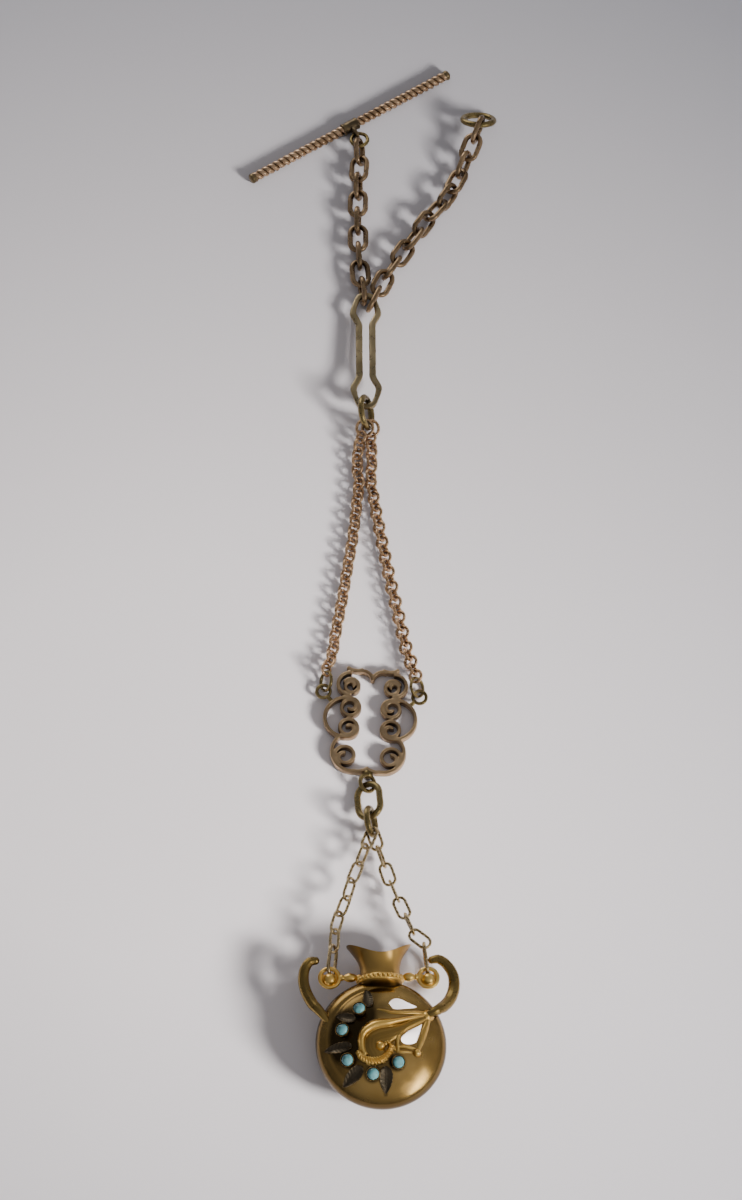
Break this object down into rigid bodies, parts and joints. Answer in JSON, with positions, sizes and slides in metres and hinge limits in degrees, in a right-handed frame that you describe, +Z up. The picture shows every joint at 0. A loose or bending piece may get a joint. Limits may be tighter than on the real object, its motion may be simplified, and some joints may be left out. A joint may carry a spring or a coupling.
{
  "type": "watch fob",
  "caption": "Watch fob of linked chains: a twisted toggle bar and a watch ring, a long keyhole link, an openwork plaque and a hollow flask pendant set with turquoise.",
  "frame": {"origin": "centre of the bottom of the bounding box, on the surface that the fob lies on", "axes": "+Y from the flask pendant to the toggle bar, +X to the right seen from above, +Z up"},
  "size_m": [0.0378, 0.1636, 0.0095],
  "materials": {
    "toggle_gold": "worn old gold with dark twist grooves",
    "cable_gold": "rubbed rose-brown gold",
    "fine_chain_gold": "rubbed rose-brown gold",
    "ring_gold": "dark olive gold, polished by wear",
    "keyhole_gold": "dull dark gold",
    "plaque_gold": "matt pinkish gold, dull in the scrolls",
    "pendant_chain_gold": "rubbed old gold",
    "flask_gold": "aged polished gold, brown in its recesses",
    "scroll_gold": "aged polished gold, bright on its ridges",
    "leaf_metal": "blackened, with bright worn edges",
    "collet_gold": "old gold, dark at the foot",
    "turquoise": "smooth waxy polish"
  },
  "bodies": {
    "root": {"toggle_bar": "toggle_gold", "toggle_ring": "ring_gold", "bar_chain": "cable_gold", "watch_chain": "cable_gold", "watch_ring": "ring_gold", "keyhole_link": "keyhole_gold", "fork_ring": "ring_gold", "fork_chain_left": "fine_chain_gold", "fork_chain_right": "fine_chain_gold", "plaque_ring_left": "ring_gold", "plaque_ring_right": "ring_gold", "filigree_plaque": "plaque_gold", "drop_ring": "ring_gold", "hanger_ring": "ring_gold", "pendant_chain_left": "pendant_chain_gold", "pendant_chain_right": "pendant_chain_gold", "pendant_ring_left": "pendant_chain_gold", "pendant_ring_right": "pendant_chain_gold", "flask": "flask_gold", "handle_left": "flask_gold", "handle_right": "flask_gold", "scroll_ornament": "scroll_gold", "leaf_1": "leaf_metal", "leaf_2": "leaf_metal", "leaf_3": "leaf_metal", "leaf_4": "leaf_metal", "leaf_5": "leaf_metal", "collet_1": "collet_gold", "collet_2": "collet_gold", "collet_3": "collet_gold", "collet_4": "collet_gold", "collet_5": "collet_gold", "stone_1": "turquoise", "stone_2": "turquoise", "stone_3": "turquoise", "stone_4": "turquoise", "stone_5": "turquoise"}
  },
  "joints": []
}
